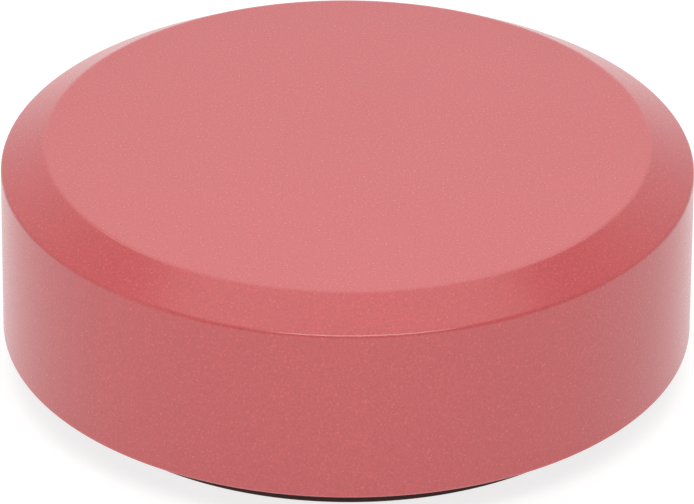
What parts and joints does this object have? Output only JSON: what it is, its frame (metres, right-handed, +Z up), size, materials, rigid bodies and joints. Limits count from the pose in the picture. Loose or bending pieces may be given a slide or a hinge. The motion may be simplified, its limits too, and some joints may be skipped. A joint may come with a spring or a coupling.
{
  "type": "floor curling stone",
  "caption": "Round floor curling stone: a bevelled moulded shell without a handle over a dark recessed base, weighted inside and rolling on balls set in its underside.",
  "frame": {"origin": "on the stone's axis, at the level of the floor that its balls stand on", "axes": "+Z up along the stone's axis, +X and +Y level; one roller lies on +Y"},
  "size_m": [0.286, 0.286, 0.1009],
  "materials": {
    "coral_shell": "fine matte moulded grain",
    "black_base": "fine matte moulded grain",
    "skirt_rubber": "smooth moulded rubber",
    "black_rubber": "smooth sheet rubber",
    "roof_foam": "closed-cell foam",
    "iron_ballast": "as cast, primed",
    "brass_inserts": "turned",
    "zinc_fasteners": "zinc plated",
    "pressed_steel": "pressed and zinc plated",
    "ball_steel": "polished",
    "seal_felt": "pressed felt"
  },
  "bodies": {
    "stone": {"top_shell": "coral_shell", "shell_inserts": "brass_inserts", "roof_foam": "roof_foam", "ballast_plate": "iron_ballast", "ballast_isolators": "black_rubber", "ballast_bolts": "zinc_fasteners", "ballast_washers": "zinc_fasteners", "ballast_nuts": "zinc_fasteners", "base_pan": "black_base", "base_gasket": "black_rubber", "base_screws": "zinc_fasteners", "skirt_ring": "skirt_rubber", "roller_screws": "zinc_fasteners", "roller_cup_1": "pressed_steel", "roller_cup_2": "pressed_steel", "roller_cup_3": "pressed_steel", "support_balls_1": "ball_steel", "support_balls_2": "ball_steel", "support_balls_3": "ball_steel", "roller_seal_1": "seal_felt", "roller_seal_2": "seal_felt", "roller_seal_3": "seal_felt", "roller_cap_1": "pressed_steel", "roller_cap_2": "pressed_steel", "roller_cap_3": "pressed_steel"},
    "ball_1": {"roller_ball_1": "ball_steel"},
    "ball_2": {"roller_ball_2": "ball_steel"},
    "ball_3": {"roller_ball_3": "ball_steel"}
  },
  "joints": [
    {"name": "ball_1_roll", "type": "hinge", "parent": "stone", "child": "ball_1", "pos_m": [0, 0.084, 0.0127], "axis": [1, 0, 0], "continuous": true},
    {"name": "ball_2_roll", "type": "hinge", "parent": "stone", "child": "ball_2", "pos_m": [-0.07275, -0.042, 0.0127], "axis": [1, 0, 0], "continuous": true},
    {"name": "ball_3_roll", "type": "hinge", "parent": "stone", "child": "ball_3", "pos_m": [0.07275, -0.042, 0.0127], "axis": [1, 0, 0], "continuous": true}
  ]
}
